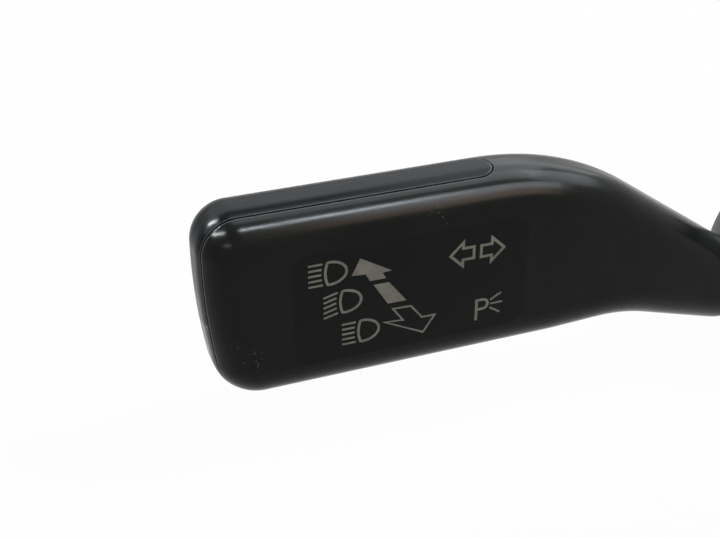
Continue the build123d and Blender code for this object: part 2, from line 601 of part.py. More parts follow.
# ---------------------------------------------------------------- self-cancelling pawl
with BuildPart() as cancel_pawl:
    with BuildSketch(Plane.XZ.offset(-PAWL_BACK_Y)):
        with BuildLine():
            half = PAWL_HEIGHT / 2
            Polyline(
                (PAWL_START, -half),
                (PAWL_TIP - PAWL_POINT, -half),
                (PAWL_TIP, 0),
                (PAWL_TIP - PAWL_POINT, half),
                (PAWL_START, half),
                close=True,
            )
        make_face()
    extrude(amount=PAWL_WIDTH)
    tip_edge = cancel_pawl.edges().filter_by(Axis.Y).sort_by(Axis.X)[-1]
    fillet(tip_edge, PAWL_HEIGHT / 5)

with BuildPart() as pawl_spring:
    start_x = DRUM_RADIUS
    coil(start_x, PAWL_START - PAWL_STROKE - FIT_GAP, PAWL_MIDDLE_Y, PAWL_SPRING_DIAMETER)

# ---------------------------------------------------------------- module housing
with BuildPart() as housing_form:
    with BuildSketch(Plane.XZ.offset(-SEAT_Y)):
        with Locations(((HOUSING_START + HOUSING_END) / 2, 0)):
            RectangleRounded(HOUSING_END - HOUSING_START, HOUSING_HEIGHT, HOUSING_CORNER)
    extrude(amount=HOUSING_DEPTH)
    chamfer(housing_form.faces().filter_by(Axis.Y).edges(), HOUSING_CHAMFER)
    with BuildSketch(Plane.YZ.offset(NOSE_START)):
        RectangleRounded(NOSE_DEPTH, NOSE_HEIGHT, NOSE_CORNER)
    extrude(amount=HOUSING_START - NOSE_START + HOUSING_WALL)

# the room inside, shared by base and lid
with BuildPart() as drum_room:
    rod("y", (0, SPLIT_Y, 0), BEARING_Y - SPLIT_Y, 2 * (DRUM_RADIUS + DRUM_GAP))
    slab((NOSE_START + NOSE_WALL, CLEAR), both(CLEAR), both(CLEAR), Mode.INTERSECT)

with BuildPart() as main_bay:
    slab((BAY_START, END_X), both(INNER_Y), both(INNER_Z))
    for x, z in SCREW_PLACES:
        rod("y", (x, -CLEAR, z), 2 * CLEAR, BOSS_DIAMETER, Mode.SUBTRACT)

with BuildPart() as trunnion_bores:
    depth = TRUNNION_LENGTH + SIDE_GAP
    for start_y in (DRUM_DEPTH / 2, -DRUM_DEPTH / 2 - depth):
        rod("y", (0, start_y, 0), depth, TRUNNION_DIAMETER + 2 * RUNNING_GAP)

with BuildPart() as pawl_slot:
    swing = HOUSING_END * sin(radians(TURN_ANGLE)) + PAWL_HEIGHT / 2 + SIDE_GAP
    slab((END_X - FIT_GAP, CLEAR), (PAWL_FRONT_Y - SIDE_GAP, PAWL_BACK_Y + SIDE_GAP), both(swing))

with BuildPart() as nose_window:
    window_end = NOSE_START + NOSE_WALL + FIT_GAP
    slab((-CLEAR, window_end), both(NOSE_WINDOW_DEPTH / 2), both(NOSE_WINDOW_HEIGHT / 2))

HEADER_Y = BOARD_Y - PIN_SIZE / 2
HEADER_YS = (HEADER_Y - HEADER_DEPTH / 2, HEADER_Y + HEADER_DEPTH / 2)
CAM_X = TURN_CAM_RADIUS + CAM_THICKNESS / 2
CAM_PEG_PLACES = [(CAM_X, -CAM_PEG_SPACING / 2), (CAM_X, CAM_PEG_SPACING / 2)]

with BuildPart() as housing_base:
    add(housing_form.part)
    slab(both(CLEAR), (SPLIT_Y, CLEAR), both(CLEAR), Mode.INTERSECT)
    for room in (drum_room, main_bay, trunnion_bores, pawl_slot, nose_window):
        add(room.part, mode=Mode.SUBTRACT)
    screw_top = SPLIT_Y - FIT_GAP
    screw_depth = SCREW_LENGTH - (SPLIT_Y + SEAT_Y - SCREW_HEAD_HEIGHT) + 2 * FIT_GAP
    for x, z in SCREW_PLACES:
        hole = SCREW_DIAMETER + 2 * RUNNING_GAP
        rod("y", (x, screw_top, z), screw_depth + FIT_GAP, hole, Mode.SUBTRACT)
    # window for the connector header
    header_half = HEADER_HEIGHT / 2 + FIT_GAP
    header_room = (HEADER_YS[0] - FIT_GAP, INNER_Y)
    slab((END_X - FIT_GAP, CLEAR), header_room, both(header_half), Mode.SUBTRACT)
    # ribs and peg holes under the board
    for side in (-1, 1):
        rib_z = side * (BOARD_HEIGHT / 2 - BOARD_RIB_WIDTH)
        rib_zs = (rib_z - BOARD_RIB_WIDTH / 2, rib_z + BOARD_RIB_WIDTH / 2)
        slab((BAY_START, BOARD_END), (INNER_Y - BOARD_SUPPORT, INNER_Y), rib_zs)
    for x, z in CAM_PEG_PLACES:
        hole = CAM_PEG_DIAMETER + 2 * RUNNING_GAP
        rod("y", (x, INNER_Y - FIT_GAP, z), CAM_PEG_GRIP + 2 * FIT_GAP, hole, Mode.SUBTRACT)
    # guide rails
    rail_end = SEAT_Y - RAIL_INSET
    for side in (-1, 1):
        rail_zs = sorted((side * (INNER_Z + HOUSING_WALL / 2), side * (HOUSING_HEIGHT / 2 + RAIL_HEIGHT)))
        slab((RAIL_START, RAIL_START + RAIL_LENGTH), (rail_end - RAIL_WIDTH, rail_end), rail_zs)
    # sprung latch on the upper side
    latch_z = HOUSING_HEIGHT / 2 + LATCH_GAP
    latch_zs = (latch_z, latch_z + LATCH_THICKNESS)
    latch_end = LATCH_START + LATCH_LENGTH
    slab((LATCH_START, latch_end), both(LATCH_WIDTH / 2), latch_zs)
    root = (LATCH_START, LATCH_START + LATCH_ROOT_LENGTH)
    slab(root, both(LATCH_WIDTH / 2), (INNER_Z + HOUSING_WALL / 2, latch_zs[0] + FIT_GAP))
    with BuildSketch(Plane.XZ.offset(-LATCH_WIDTH / 2)):
        with BuildLine():
            hook_top = latch_zs[1] + LATCH_HOOK_HEIGHT
            Polyline(
                (latch_end - 2 * LATCH_HOOK_HEIGHT, latch_z + FIT_GAP),
                (latch_end - 2 * LATCH_HOOK_HEIGHT, hook_top),
                (latch_end, latch_zs[1]),
                (latch_end, latch_z + FIT_GAP),
                close=True,
            )
        make_face()
    extrude(amount=LATCH_WIDTH)

with BuildPart() as housing_lid:
    add(housing_form.part)
    slab(both(CLEAR), (-CLEAR, SPLIT_Y), both(CLEAR), Mode.INTERSECT)
    for room in (main_bay, trunnion_bores, pawl_slot):
        add(room.part, mode=Mode.SUBTRACT)
    for x, z in SCREW_PLACES:
        hole = SCREW_DIAMETER + 2 * FIT_GAP
        rod("y", (x, -CLEAR, z), 2 * CLEAR, hole, Mode.SUBTRACT)
        head_hole = SCREW_HEAD + 2 * FIT_GAP
        rod("y", (x, -SEAT_Y - CLEAR, z), CLEAR + SCREW_HEAD_HEIGHT, head_hole, Mode.SUBTRACT)

with BuildPart() as housing_screws:
    for x, z in SCREW_PLACES:
        rod("y", (x, -SEAT_Y, z), SCREW_HEAD_HEIGHT, SCREW_HEAD)
        rod("y", (x, -SEAT_Y + SCREW_HEAD_HEIGHT, z), SCREW_LENGTH, SCREW_DIAMETER)
        recess(x, -SEAT_Y, z, SCREW_HEAD)

# ---------------------------------------------------------------- board, connector and contacts
with BuildPart() as circuit_board:
    slab((BOARD_START, BOARD_END), (BOARD_Y, BOARD_Y + BOARD_THICKNESS), both(BOARD_HEIGHT / 2))
    for x, z in CAM_PEG_PLACES:
        hole = CAM_PEG_DIAMETER + 2 * RUNNING_GAP
        rod("y", (x, -CLEAR, z), 2 * CLEAR, hole, Mode.SUBTRACT)

PIN_ZS = [(index - (PIN_COUNT - 1) / 2) * PIN_PITCH for index in range(PIN_COUNT)]
PIN_YS = (HEADER_Y - PIN_SIZE / 2, HEADER_Y + PIN_SIZE / 2)

with BuildPart() as terminal_pins:
    for z in PIN_ZS:
        slab((PIN_START, PIN_END), PIN_YS, (z - PIN_SIZE / 2, z + PIN_SIZE / 2))

with BuildPart() as connector_header:
    header_end = HOUSING_END + HEADER_LENGTH
    slab((END_X, header_end), HEADER_YS, both(HEADER_HEIGHT / 2))
    cavity_ys = (HEADER_YS[0] + HEADER_WALL, HEADER_YS[1] - HEADER_WALL)
    slab((HOUSING_END, header_end), cavity_ys, both(HEADER_HEIGHT / 2 - HEADER_WALL), Mode.SUBTRACT)
    flange_half = HEADER_HEIGHT / 2 + HEADER_FLANGE
    slab((END_X - HEADER_FLANGE, END_X), HEADER_YS, both(flange_half))
    for z in PIN_ZS:
        hole_ys = (PIN_YS[0] - RUNNING_GAP, PIN_YS[1] + RUNNING_GAP)
        hole_zs = (z - PIN_SIZE / 2 - RUNNING_GAP, z + PIN_SIZE / 2 + RUNNING_GAP)
        slab((END_X - CLEAR, HOUSING_END), hole_ys, hole_zs, Mode.SUBTRACT)

# turn slider in its frame on the board
SLIDER_YS = (TAIL_Y + SIDE_GAP, TAIL_Y + SIDE_GAP + SLIDER_DEPTH)
SLIDER_TRAVEL = PEG_DISTANCE * sin(radians(TURN_ANGLE))
SLIDER_XS = (PEG_DISTANCE - SLIDER_LENGTH / 2, PEG_DISTANCE + SLIDER_LENGTH / 2)

with BuildPart() as turn_slider:
    slab(SLIDER_XS, SLIDER_YS, both(SLIDER_HEIGHT / 2))
    slot_near = PEG_DISTANCE * cos(radians(TURN_ANGLE)) - PEG_DIAMETER / 2 - FIT_GAP
    slot_far = PEG_DISTANCE + PEG_DIAMETER / 2 + FIT_GAP
    slot_half = PEG_DIAMETER / 2 + FIT_GAP
    slab((slot_near, slot_far), both(CLEAR), both(slot_half), Mode.SUBTRACT)

WIPER_PLACES = [side * SLIDER_HEIGHT * 0.3 for side in (-1, 1)]
with BuildPart() as slider_contacts:
    for z in WIPER_PLACES:
        wiper_ys = (SLIDER_YS[1], SLIDER_YS[1] + WIPER_THICKNESS)
        wiper_xs = (SLIDER_XS[0] + WIPER_WIDTH / 2, SLIDER_XS[1] - WIPER_WIDTH / 2)
        slab(wiper_xs, wiper_ys, (z - WIPER_WIDTH / 2, z + WIPER_WIDTH / 2))

with BuildPart() as slider_frame:
    room_xs = (SLIDER_XS[0] - FIT_GAP, SLIDER_XS[1] + FIT_GAP)
    room_half = SLIDER_HEIGHT / 2 + SLIDER_TRAVEL + SIDE_GAP
    frame_ys = (TAIL_Y + SIDE_GAP, BOARD_Y)
    slab((room_xs[0] - FRAME_BAR, room_xs[1] + FRAME_BAR), frame_ys, both(room_half + FRAME_END))
    slab(room_xs, frame_ys, both(room_half), Mode.SUBTRACT)

with BuildPart() as board_contacts:
    for x in (SLIDER_XS[0] + PAD_SIZE, SLIDER_XS[1] - PAD_SIZE):
        for z in (-SLIDER_TRAVEL, 0.0, SLIDER_TRAVEL):
            pad_xs = (x - PAD_SIZE / 2, x + PAD_SIZE / 2)
            slab(pad_xs, (BOARD_Y - PAD_THICKNESS, BOARD_Y), (z - PAD_SIZE / 2, z + PAD_SIZE / 2))

# detent track of the turn hinge, on two pegs through the board
with BuildPart() as turn_cam:
    with BuildSketch(Plane.XZ.offset(-CAM_DEPTH / 2)):
        with Locations((TURN_CAM_RADIUS, 0)):
            Rectangle(2 * CAM_THICKNESS, CAM_HEIGHT)
        Circle(TURN_CAM_RADIUS, mode=Mode.SUBTRACT)
        notch_radius = TURN_NOSE_RADIUS + NOTCH_GAP
        pitch_radius = TURN_CAM_RADIUS + NOTCH_DEPTH - notch_radius
        with PolarLocations(pitch_radius, 3, -TURN_ANGLE, 2 * TURN_ANGLE, endpoint=True):
            Circle(notch_radius, mode=Mode.SUBTRACT)
    extrude(amount=CAM_DEPTH)
    for side in (-1, 1):
        foot_z = side * CAM_PEG_SPACING / 2
        foot_zs = (foot_z - CAM_PEG_DIAMETER, foot_z + CAM_PEG_DIAMETER)
        foot_xs = (TURN_CAM_RADIUS + FIT_GAP, TURN_CAM_RADIUS + CAM_THICKNESS)
        slab(foot_xs, (CAM_DEPTH / 2 - FIT_GAP, BOARD_Y), foot_zs)
    for x, z in CAM_PEG_PLACES:
        rod("y", (x, BOARD_Y - FIT_GAP, z), INNER_Y + CAM_PEG_GRIP - BOARD_Y + FIT_GAP, CAM_PEG_DIAMETER)

# leaf contacts of the beam switch, in a block on the housing's upper wall
LEAF_Y = FINGER_DISTANCE * sin(radians(BEAM_ANGLE)) + FINGER_DIAMETER / 2 + LEAF_CLEARANCE
BLOCK_END = BLOCK_START + BLOCK_LENGTH
BLOCK_HALF = LEAF_Y + LEAF_THICKNESS + BLOCK_WALL
LEAF_ZS = (LEAF_BOTTOM, LEAF_TOP)
SOLDER_TAILS = (  # side of the block, start along X, top
    (-1, BLOCK_START + BLOCK_WALL, LEAF_BOTTOM - 2 * LEAF_THICKNESS),
    (1, BLOCK_START + BLOCK_WALL + 1.5 * LEAF_TAIL, LEAF_BOTTOM),
)


def leaf(side, grow, mode=Mode.ADD):
    """One leaf contact, or the slot that it is pushed into."""
    ys = sorted((side * (LEAF_Y - grow), side * (LEAF_Y + LEAF_THICKNESS + grow)))
    slab((LEAF_START, BLOCK_END - BLOCK_WALL + grow), ys, (LEAF_ZS[0] - grow, LEAF_ZS[1] + grow), mode)


with BuildPart() as contact_block:
    slab((BLOCK_START, BLOCK_END), both(BLOCK_HALF), (LEAF_BOTTOM, INNER_Z))
    for side in (-1, 1):
        leaf(side, RUNNING_GAP, Mode.SUBTRACT)

with BuildPart() as leaf_contacts:
    for side, tail_x, tail_top in SOLDER_TAILS:
        leaf(side, 0.0)
        tail_xs = (tail_x, tail_x + LEAF_TAIL)
        root_ys = sorted((side * LEAF_Y, side * (LEAF_Y + LEAF_THICKNESS)))
        slab(tail_xs, root_ys, (tail_top - LEAF_THICKNESS, LEAF_BOTTOM))
        slab(tail_xs, (root_ys[0], BOARD_Y), (tail_top - LEAF_THICKNESS, tail_top))

# ---------------------------------------------------------------- STEP files, one per piece
pieces = {
    "lever_body": lever_body,
    "rear_cover": rear_cover,
    "blank_cap": blank_cap,
    "dust_shield": dust_shield,
    "lever_arm": lever_arm,
    "arm_screw": arm_screw,
    "contact_finger": contact_finger,
    "beam_plunger": beam_plunger,
    "beam_spring": beam_spring,
    "carrier": carrier,
    "beam_pin": beam_pin,
    "turn_plunger": turn_plunger,
    "turn_spring": turn_spring,
    "cancel_pawl": cancel_pawl,
    "pawl_spring": pawl_spring,
    "housing_base": housing_base,
    "housing_lid": housing_lid,
    "housing_screws": housing_screws,
    "circuit_board": circuit_board,
    "board_contacts": board_contacts,
    "terminal_pins": terminal_pins,
    "connector_header": connector_header,
    "turn_slider": turn_slider,
    "slider_contacts": slider_contacts,
    "slider_frame": slider_frame,
    "turn_cam": turn_cam,
    "contact_block": contact_block,
    "leaf_contacts": leaf_contacts,
}
for name, piece in pieces.items():
    seated = piece.part.moved(SEAT_SHIFT)
    seated.label = name
    export_step(seated, f"parts/{name}.step")
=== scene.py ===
"""Combination stalk switch: finishes, printed symbols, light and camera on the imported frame."""

import json
import math

import bmesh
import bpy
from mathutils import Matrix, Vector
from mathutils.geometry import tessellate_polygon


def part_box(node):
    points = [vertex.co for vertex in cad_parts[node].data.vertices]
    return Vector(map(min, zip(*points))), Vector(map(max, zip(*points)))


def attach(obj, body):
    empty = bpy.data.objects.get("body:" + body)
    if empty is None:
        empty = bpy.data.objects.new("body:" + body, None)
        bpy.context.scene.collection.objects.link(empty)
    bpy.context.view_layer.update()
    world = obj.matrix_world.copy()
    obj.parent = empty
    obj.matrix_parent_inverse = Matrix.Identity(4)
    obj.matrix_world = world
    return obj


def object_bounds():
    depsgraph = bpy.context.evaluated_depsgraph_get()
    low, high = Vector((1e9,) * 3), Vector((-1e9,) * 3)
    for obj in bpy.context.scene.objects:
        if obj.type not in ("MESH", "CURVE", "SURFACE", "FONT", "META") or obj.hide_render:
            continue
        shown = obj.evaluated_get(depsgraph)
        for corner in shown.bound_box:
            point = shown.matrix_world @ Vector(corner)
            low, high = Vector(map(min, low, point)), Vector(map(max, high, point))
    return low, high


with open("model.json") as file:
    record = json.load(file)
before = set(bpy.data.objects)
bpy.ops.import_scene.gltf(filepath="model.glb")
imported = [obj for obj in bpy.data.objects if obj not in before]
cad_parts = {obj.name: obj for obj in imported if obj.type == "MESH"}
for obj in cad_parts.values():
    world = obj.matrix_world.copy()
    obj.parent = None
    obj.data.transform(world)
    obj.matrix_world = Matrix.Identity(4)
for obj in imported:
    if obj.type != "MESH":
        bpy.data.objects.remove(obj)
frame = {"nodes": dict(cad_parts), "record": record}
nodes = frame["nodes"]
cad_low, cad_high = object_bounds()

MM = 0.001
SHARP = 0.0001  # half of the width, in metres, over which a printed edge fades
PIVOT_Y = -12.5  # the pivot lies this far in front of the seat face
TIP_X = -124.60  # from here the printed symbols are measured
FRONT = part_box("lever_body")[0].y / MM
PADDLE_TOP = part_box("blank_cap")[1].z / MM
PADDLE_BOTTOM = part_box("rear_cover")[0].z / MM
RISE = (PADDLE_TOP + PADDLE_BOTTOM) / 2


# ---------------------------------------------------------------- node helpers
class Shader:
    """A material's node tree with short calls for adding and joining nodes."""

    def __init__(self, name):
        self.material = bpy.data.materials.new(name)
        self.material.use_nodes = True
        self.nodes = self.material.node_tree.nodes
        self.links = self.material.node_tree.links
        self.bsdf = self.nodes["Principled BSDF"]
        self.place = self.add("ShaderNodeTexCoord").outputs["Object"]

    def add(self, kind, **values):
        node = self.nodes.new(kind)
        for key, value in values.items():
            setattr(node, key, value)
        return node

    def put(self, socket, value):
        if isinstance(value, bpy.types.NodeSocket):
            self.links.new(value, socket)
        else:
            socket.default_value = value

    def math(self, operation, a, b=0.0):
        node = self.add("ShaderNodeMath", operation=operation)
        self.put(node.inputs[0], a)
        self.put(node.inputs[1], b)
        return node.outputs[0]

    def noise(self, scale, detail=2.0, rough=0.5, stretch=(1.0, 1.0, 1.0)):
        """Cloudy noise on the part's own coordinates, stretched where asked."""
        vector = self.place
        if stretch != (1.0, 1.0, 1.0):
            mapping = self.add("ShaderNodeMapping")
            mapping.inputs["Scale"].default_value = stretch
            self.put(mapping.inputs["Vector"], self.place)
            vector = mapping.outputs[0]
        node = self.add("ShaderNodeTexNoise")
        self.put(node.inputs["Vector"], vector)
        node.inputs["Scale"].default_value = scale
        node.inputs["Detail"].default_value = detail
        node.inputs["Roughness"].default_value = rough
        return node.outputs["Fac"]

    def cells(self, scale):
        """The distance to the nearest of many scattered points."""
        node = self.add("ShaderNodeTexVoronoi")
        self.put(node.inputs["Vector"], self.place)
        node.inputs["Scale"].default_value = scale
        return node.outputs["Distance"]

    def ramp(self, fac, low, high, start=0.0, end=1.0):
        """Maps fac from low..high to start..end, and stops at both ends."""
        node = self.add("ShaderNodeMapRange", clamp=True, interpolation_type="SMOOTHSTEP")
        self.put(node.inputs["Value"], fac)
        for key, value in (("From Min", low), ("From Max", high), ("To Min", start), ("To Max", end)):
            self.put(node.inputs[key], value)
        return node.outputs[0]

    def mix(self, fac, a, b):
        node = self.add("ShaderNodeMix", data_type="RGBA")
        self.put(node.inputs["Factor"], fac)
        for socket, value in ((node.inputs[6], a), (node.inputs[7], b)):
            self.put(socket, value if isinstance(value, bpy.types.NodeSocket) else (*value, 1.0))
        return node.outputs[2]

    def rounded(self, radius):
        """The surface's normal with every sharp edge rounded off."""
        node = self.add("ShaderNodeBevel", samples=8)
        node.inputs["Radius"].default_value = radius
        return node.outputs[0]

    def edges(self, normal):
        """Where that normal leaves the true one, but not on the walls inside a seam: the mask of the painted
        highlight along the seams' lips.
        """
        true = self.add("ShaderNodeNewGeometry").outputs["Normal"]
        dot = self.add("ShaderNodeVectorMath", operation="DOT_PRODUCT")
        self.put(dot.inputs[0], normal)
        self.put(dot.inputs[1], true)
        axes = self.add("ShaderNodeSeparateXYZ")
        self.put(axes.inputs[0], true)
        outside = self.ramp(self.math("ABSOLUTE", axes.outputs[1]), 0.9, 0.7)
        return self.math("MULTIPLY", self.ramp(dot.outputs["Value"], 0.995, 0.90), outside)

    def bump(self, height, strength, distance, normal=None):
        node = self.add("ShaderNodeBump")
        if normal:
            self.put(node.inputs["Normal"], normal)
        node.inputs["Strength"].default_value = strength
        node.inputs["Distance"].default_value = distance
        self.put(node.inputs["Height"], height)
        self.put(self.bsdf.inputs["Normal"], node.outputs[0])

    def finish(self, color, roughness, specular=None, metallic=None):
        if isinstance(color, bpy.types.NodeSocket):
            self.links.new(color, self.bsdf.inputs["Base Color"])
        else:
            self.bsdf.inputs["Base Color"].default_value = (*color, 1.0)
        self.put(self.bsdf.inputs["Roughness"], roughness)
        if specular is not None:
            self.bsdf.inputs["Specular IOR Level"].default_value = specular
        if metallic is not None:
            self.bsdf.inputs["Metallic"].default_value = metallic
        return self.material


def window_mask(s):
    """One on the paddle's front face inside the window with its rounded corners, nought elsewhere."""
    axes = s.add("ShaderNodeSeparateXYZ")
    s.put(axes.inputs[0], s.place)
    corner = WINDOW_CORNER * MM
    beyond = []
    for axis, low, high in ((0, *WINDOW[:2]), (2, *WINDOW[2:])):
        centre, half = (low + high) / 2, (high - low) / 2
        away = s.math("ABSOLUTE", s.math("SUBTRACT", axes.outputs[axis], centre * MM))
        over = s.math("MAXIMUM", s.math("SUBTRACT", away, half * MM - corner), 0.0)
        beyond.append(s.math("MULTIPLY", over, over))
    inside = s.ramp(s.math("SQRT", s.math("ADD", *beyond)), corner + SHARP, corner - SHARP)
    front = s.ramp(axes.outputs[1], (FRONT + 0.3) * MM, (FRONT + 0.1) * MM)
    return s.math("MULTIPLY", inside, front)


def speck_mask(s, x, z, spread):
    """A few specks within that reach of a point on the front face."""
    away = s.add("ShaderNodeVectorMath", operation="DISTANCE")
    s.put(away.inputs[0], s.place)
    away.inputs[1].default_value = ((TIP_X + x) * MM, FRONT * MM, (RISE + z) * MM)
    near = s.ramp(away.outputs["Value"], spread * MM, spread * 0.5 * MM)
    specks = s.ramp(s.cells(SPECK_CELLS), *SPECK_SIZE)
    return s.math("MULTIPLY", specks, near)


def moulded(name, dark, light, rough, specular, grain=3800.0, depth=0.000012,
            dust=(), window=False, edge=0.0, wear_and_painted_lip_highlight=None):
    """Moulded plastic: fine spark grain and a slow drift of tone and sheen.

    The paddle's shell also has specks of dust and the smooth window of the symbols.
    Where edge is given, sharp edges look rounded by it, and their colour is lightened there, a painted highlight
    along the lips of the seams.
    """
    s = Shader(name)
    drift = s.noise(55.0, 3.0, 0.6)
    smear = s.noise(240.0, 2.0, 0.55, (0.35, 1.0, 1.0))
    color = s.mix(s.ramp(drift, 0.3, 0.7), dark, light)
    height = s.noise(grain, 2.0, 0.6)
    roughness = s.ramp(smear, 0.3, 0.7, rough - 0.03, rough + 0.03)
    if window:
        mask = window_mask(s)
        color = s.mix(s.math("MULTIPLY", mask, 0.6), color, [c * WINDOW_TONE for c in dark])
        roughness = s.math("SUBTRACT", roughness, s.math("MULTIPLY", mask, WINDOW_SHEEN))
        height = s.math("MULTIPLY", height, s.math("SUBTRACT", 1.0, s.math("MULTIPLY", mask, 0.8)))
    for x, z, spread in dust:
        color = s.mix(s.math("MULTIPLY", speck_mask(s, x, z, spread), 0.55), color, SPECK_COLOR)
    normal = s.rounded(edge) if edge else None
    if wear_and_painted_lip_highlight:
        # painted highlight: the seams' lips get a light colour where the rounded normal turns away from the true one
        color = s.mix(s.edges(normal), color, wear_and_painted_lip_highlight)
    s.bump(height, 0.45, depth, normal)
    return s.finish(color, roughness, specular)


def metal(name, dark, light, rough, along=(1.0, 1.0, 1.0), scale=900.0):
    """Metal with fine drawn lines and patches of tarnish."""
    s = Shader(name)
    lines = s.noise(scale, 3.0, 0.6, along)
    stain = s.noise(160.0, 3.0, 0.6)
    color = s.mix(s.ramp(stain, 0.35, 0.75), light, dark)
    roughness = s.ramp(lines, 0.3, 0.7, rough - 0.06, rough + 0.08)
    s.bump(lines, 0.35, 0.00001)
    return s.finish(color, roughness, None, 1.0)


def natural(name, dark, light, rough):
    """Unfilled acetal or nylon: waxy, slightly see-through, with flow marks."""
    s = Shader(name)
    flow = s.noise(120.0, 4.0, 0.6, (1.0, 1.0, 0.3))
    fine = s.noise(2600.0, 2.0, 0.5)
    color = s.mix(s.ramp(flow, 0.3, 0.7), dark, light)
    roughness = s.ramp(fine, 0.3, 0.7, rough - 0.05, rough + 0.06)
    s.bump(fine, 0.3, 0.000008)
    s.bsdf.inputs["Subsurface Weight"].default_value = 0.12
    s.bsdf.inputs["Subsurface Scale"].default_value = 0.002
    return s.finish(color, roughness, 0.4)


def laminate(name):
    """Green solder-masked board with the weave of the glass cloth under it."""
    s = Shader(name)
    weave = s.add("ShaderNodeTexChecker")
    s.put(weave.inputs["Vector"], s.place)
    weave.inputs["Scale"].default_value = 1400.0
    cloudy = s.noise(300.0, 3.0, 0.6)
    base = s.mix(s.ramp(cloudy, 0.3, 0.7), (0.008, 0.085, 0.032), (0.014, 0.12, 0.045))
    color = s.mix(s.math("MULTIPLY", weave.outputs["Fac"], 0.18), base, (0.03, 0.18, 0.07))
    roughness = s.ramp(cloudy, 0.3, 0.7, 0.24, 0.36)
    s.bump(cloudy, 0.2, 0.00001)
    return s.finish(color, roughness, 0.5)


WINDOW = (TIP_X + 13.6, TIP_X + 54.6, RISE - 10.6, RISE + 10.0)  # left, right, bottom and top in mm
WINDOW_CORNER = 3.0
WINDOW_TONE = 0.55  # of the shell's darker colour
WINDOW_SHEEN = 0.10  # taken off the roughness
SPECKS = ((6.6, -7.5, 2.7), (3.6, -4.6, 1.5), (38.0, 12.0, 2.6))  # from the tip, from the centre line, reach
SPECK_CELLS = 1500.0
SPECK_SIZE = (0.17, 0.11)
SPECK_COLOR = (0.24, 0.22, 0.19)

# the light edge colours given to shell and shell_gloss are painted highlights along the lips of their seams
finishes = {
    "shell": moulded("shell", (0.0050, 0.0059, 0.0047), (0.0074, 0.0083, 0.0069), 0.21, 0.085,
                     dust=SPECKS, window=True, edge=0.0003, wear_and_painted_lip_highlight=(0.11, 0.115, 0.12)),
    "shell_gloss": moulded("shell_gloss", (0.0034, 0.0042, 0.0054), (0.0052, 0.0062, 0.0080), 0.22, 0.042, 3200.0,
                           0.000010, edge=0.0005, wear_and_painted_lip_highlight=(0.19, 0.20, 0.21)),
    "shield": moulded("shield", (0.018, 0.018, 0.015), (0.028, 0.028, 0.024), 0.38, 0.4, 2400.0, 0.000012),
    "arm": moulded("arm", (0.050, 0.050, 0.052), (0.085, 0.085, 0.086), 0.5, 0.45, 1800.0, 0.000022),
    "housing": moulded("housing", (0.0085, 0.0085, 0.0090), (0.0150, 0.0150, 0.0155), 0.55, 0.4, 2600.0, 0.000022),
    "carrier": natural("carrier", (0.52, 0.49, 0.41), (0.66, 0.63, 0.55), 0.45),
    "acetal": natural("acetal", (0.66, 0.63, 0.56), (0.80, 0.78, 0.72), 0.4),
    "steel": metal("steel", (0.36, 0.36, 0.36), (0.56, 0.56, 0.57), 0.30, (1.0, 0.1, 1.0)),
    "spring_steel": metal("spring_steel", (0.30, 0.30, 0.32), (0.48, 0.48, 0.50), 0.26, (0.2, 1.0, 1.0), 1500.0),
    "copper": metal("copper", (0.46, 0.22, 0.10), (0.72, 0.40, 0.20), 0.28, (0.2, 1.0, 1.0)),
    "tin": metal("tin", (0.50, 0.50, 0.48), (0.74, 0.74, 0.72), 0.24, (0.15, 1.0, 1.0)),
    "board": laminate("board"),
}
for part in frame["record"]["subparts"]:
    node = nodes[part["node"]]
    if not node.material_slots:
        node.data.materials.append(None)
    for entry in node.material_slots:
        entry.material = finishes[part["material_slot"]]


# ---------------------------------------------------------------- printed symbols on the paddle
PRINT_HEIGHT = 0.03  # mm in front of the face
PRINT_DEPTH = 0.02  # mm into it
LAMP_LINE = 0.44
BEAM_LINE = 0.36
ARROW_LINE = 0.31
TURN_LINE = 0.48
RAY_LINE = 0.34
STEM_LINE = 0.50


def printed(name):
    """The ink of the symbols: warm grey, thin in places, a little rough."""
    s = Shader(name)
    wear_and_painted_lip_highlight = s.noise(2400.0, 3.0, 0.65)
    patch = s.noise(420.0, 2.0, 0.5)
    ink = s.mix(s.ramp(patch, 0.3, 0.7), (0.130, 0.116, 0.092), (0.172, 0.154, 0.123))
    color = s.mix(s.ramp(wear_and_painted_lip_highlight, 0.60, 0.78, 0.0, 0.55), ink, (0.03, 0.03, 0.028))
    s.bump(wear_and_painted_lip_highlight, 0.3, 0.000006)
    return s.finish(color, s.ramp(wear_and_painted_lip_highlight, 0.3, 0.7, 0.5, 0.62), 0.15)


